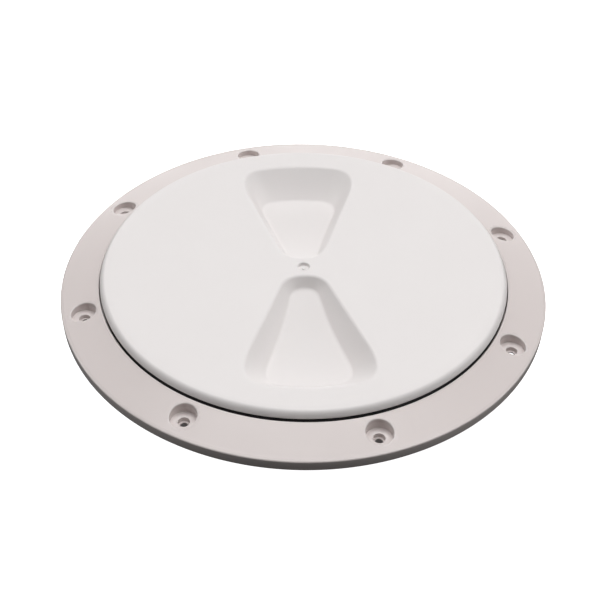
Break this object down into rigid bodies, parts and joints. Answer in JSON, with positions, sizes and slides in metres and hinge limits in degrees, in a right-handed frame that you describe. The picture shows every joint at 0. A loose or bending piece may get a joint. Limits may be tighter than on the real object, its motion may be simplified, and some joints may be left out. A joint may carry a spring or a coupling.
{
  "type": "deck hatch",
  "caption": "Round screw-in deck hatch: flanged deck ring with screw holes, threaded lid with two fan-shaped finger recesses, and a rubber O-ring in the seam.",
  "frame": {"origin": "bottom centre of the collar, on the ring's axis", "axes": "+Z along the ring's axis, out of the deck; +Y along the middle of the back finger recess before its 3.2 degree turn; +X to the right"},
  "size_m": [0.2, 0.2, 0.0249],
  "materials": {
    "ring_plastic": "satin moulded, light warm grey",
    "lid_plastic": "fine matte moulded, white",
    "seal_rubber": "black rubber, slight sheen"
  },
  "bodies": {
    "frame": {"deck_ring": "ring_plastic"},
    "seal": {"o_ring": "seal_rubber"},
    "lid": {"lid": "lid_plastic"}
  },
  "joints": [
    {"name": "lid_lift", "type": "slide", "parent": "frame", "child": "seal", "axis": [0, 0, 1], "range_m": [0, 0.01]},
    {"name": "lid_turn", "type": "hinge", "parent": "seal", "child": "lid", "pos_m": [0, 0, 0.02255], "axis": [0, 0, 1], "range_deg": [0, 720]}
  ],
  "couplings": [
    {"joint": "lid_lift", "follows": "lid_turn", "m_per_rad": 0.00079577}
  ]
}
